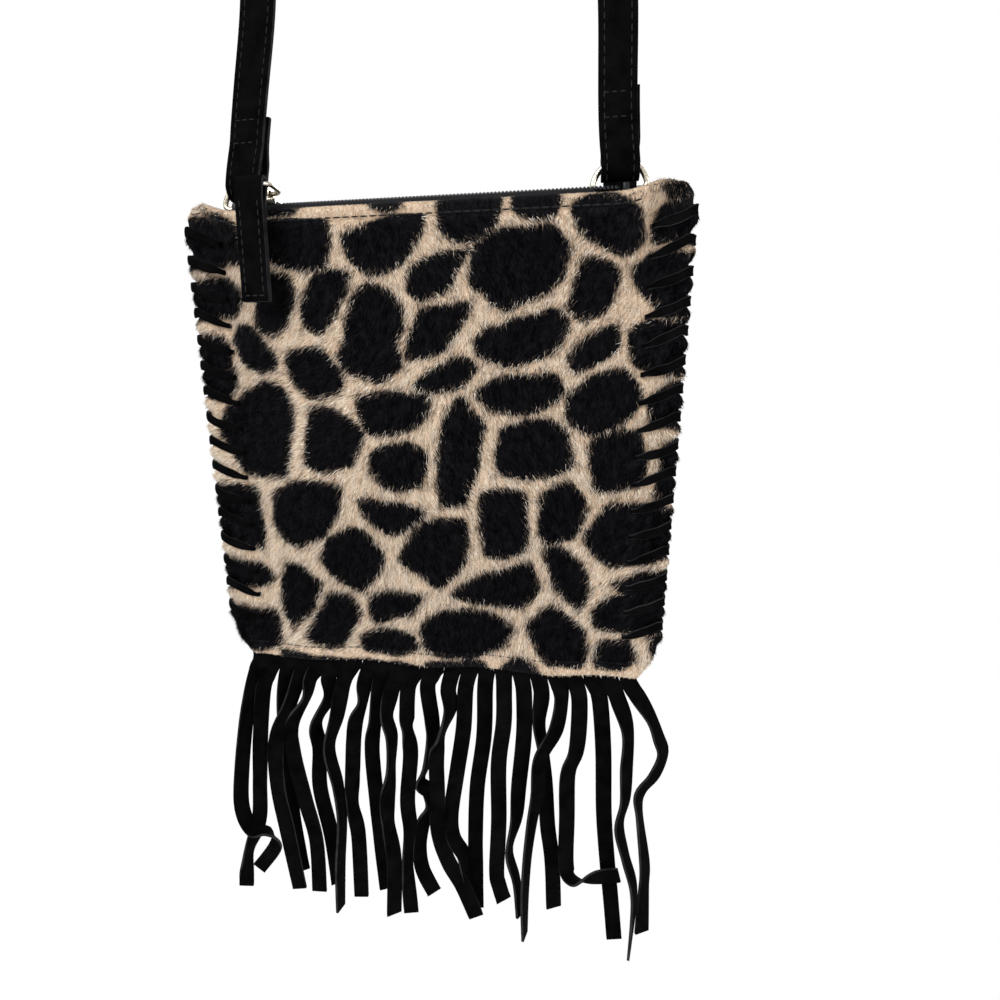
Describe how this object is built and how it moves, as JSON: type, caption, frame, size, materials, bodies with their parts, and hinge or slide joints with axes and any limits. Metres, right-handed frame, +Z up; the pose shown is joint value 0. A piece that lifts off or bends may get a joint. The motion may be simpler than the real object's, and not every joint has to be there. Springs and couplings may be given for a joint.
{
  "type": "fringed crossbody pouch",
  "caption": "Small flat zipped crossbody pouch: animal-print plush panels, suede whip lacing down the sides, cut suede fringe below and a long suede strap on metal D-rings.",
  "frame": {"origin": "middle of the underside of the strap's bend, where it rests on the shoulder or hook that holds it", "axes": "+Z up, +Y to the back of the bag, +X to the right of someone who faces the front"},
  "size_m": [0.1896, 0.0316, 0.72],
  "materials": {
    "plush": "short-pile plush in cream with black animal-print patches",
    "suede": "black suede with greyer cut edges",
    "lining_cloth": "plain dark woven lining",
    "zip_nylon": "black moulded coil",
    "zip_cloth": "black woven tape",
    "nickel": "pale warm nickel plate"
  },
  "bodies": {
    "strap": {"shoulder_strap": "suede"},
    "rings": {"left_ring": "nickel", "right_ring": "nickel"},
    "bag": {"front_panel": "plush", "back_panel": "plush", "lining": "lining_cloth", "left_lacing": "suede", "right_lacing": "suede", "fringe": "suede", "zip_coil": "zip_nylon", "zip_tape_front": "zip_cloth", "zip_tape_back": "zip_cloth", "zip_stop_left": "nickel", "zip_stop_right": "nickel", "left_ring_tab": "suede", "right_ring_tab": "suede"},
    "zip_slider": {"zip_slider": "nickel", "zip_slider_foot": "nickel"},
    "zip_pull": {"pull_link": "nickel", "pull_tab": "suede"}
  },
  "joints": [
    {"name": "ring_swing", "type": "hinge", "parent": "strap", "child": "rings", "pos_m": [0, 0, -0.41], "axis": [1, 0, 0], "range_deg": [-10, 30]},
    {"name": "bag_swing", "type": "hinge", "parent": "rings", "child": "bag", "pos_m": [0, 0, -0.4174], "axis": [1, 0, 0], "range_deg": [-10, 50]},
    {"name": "zip_slide", "type": "slide", "parent": "bag", "child": "zip_slider", "axis": [1, 0, 0], "range_m": [0, 0.1148]},
    {"name": "pull_lift", "type": "hinge", "parent": "zip_slider", "child": "zip_pull", "pos_m": [-0.0574, -0.0049, -0.414], "axis": [1, 0, 0], "range_deg": [-45, 0]}
  ]
}
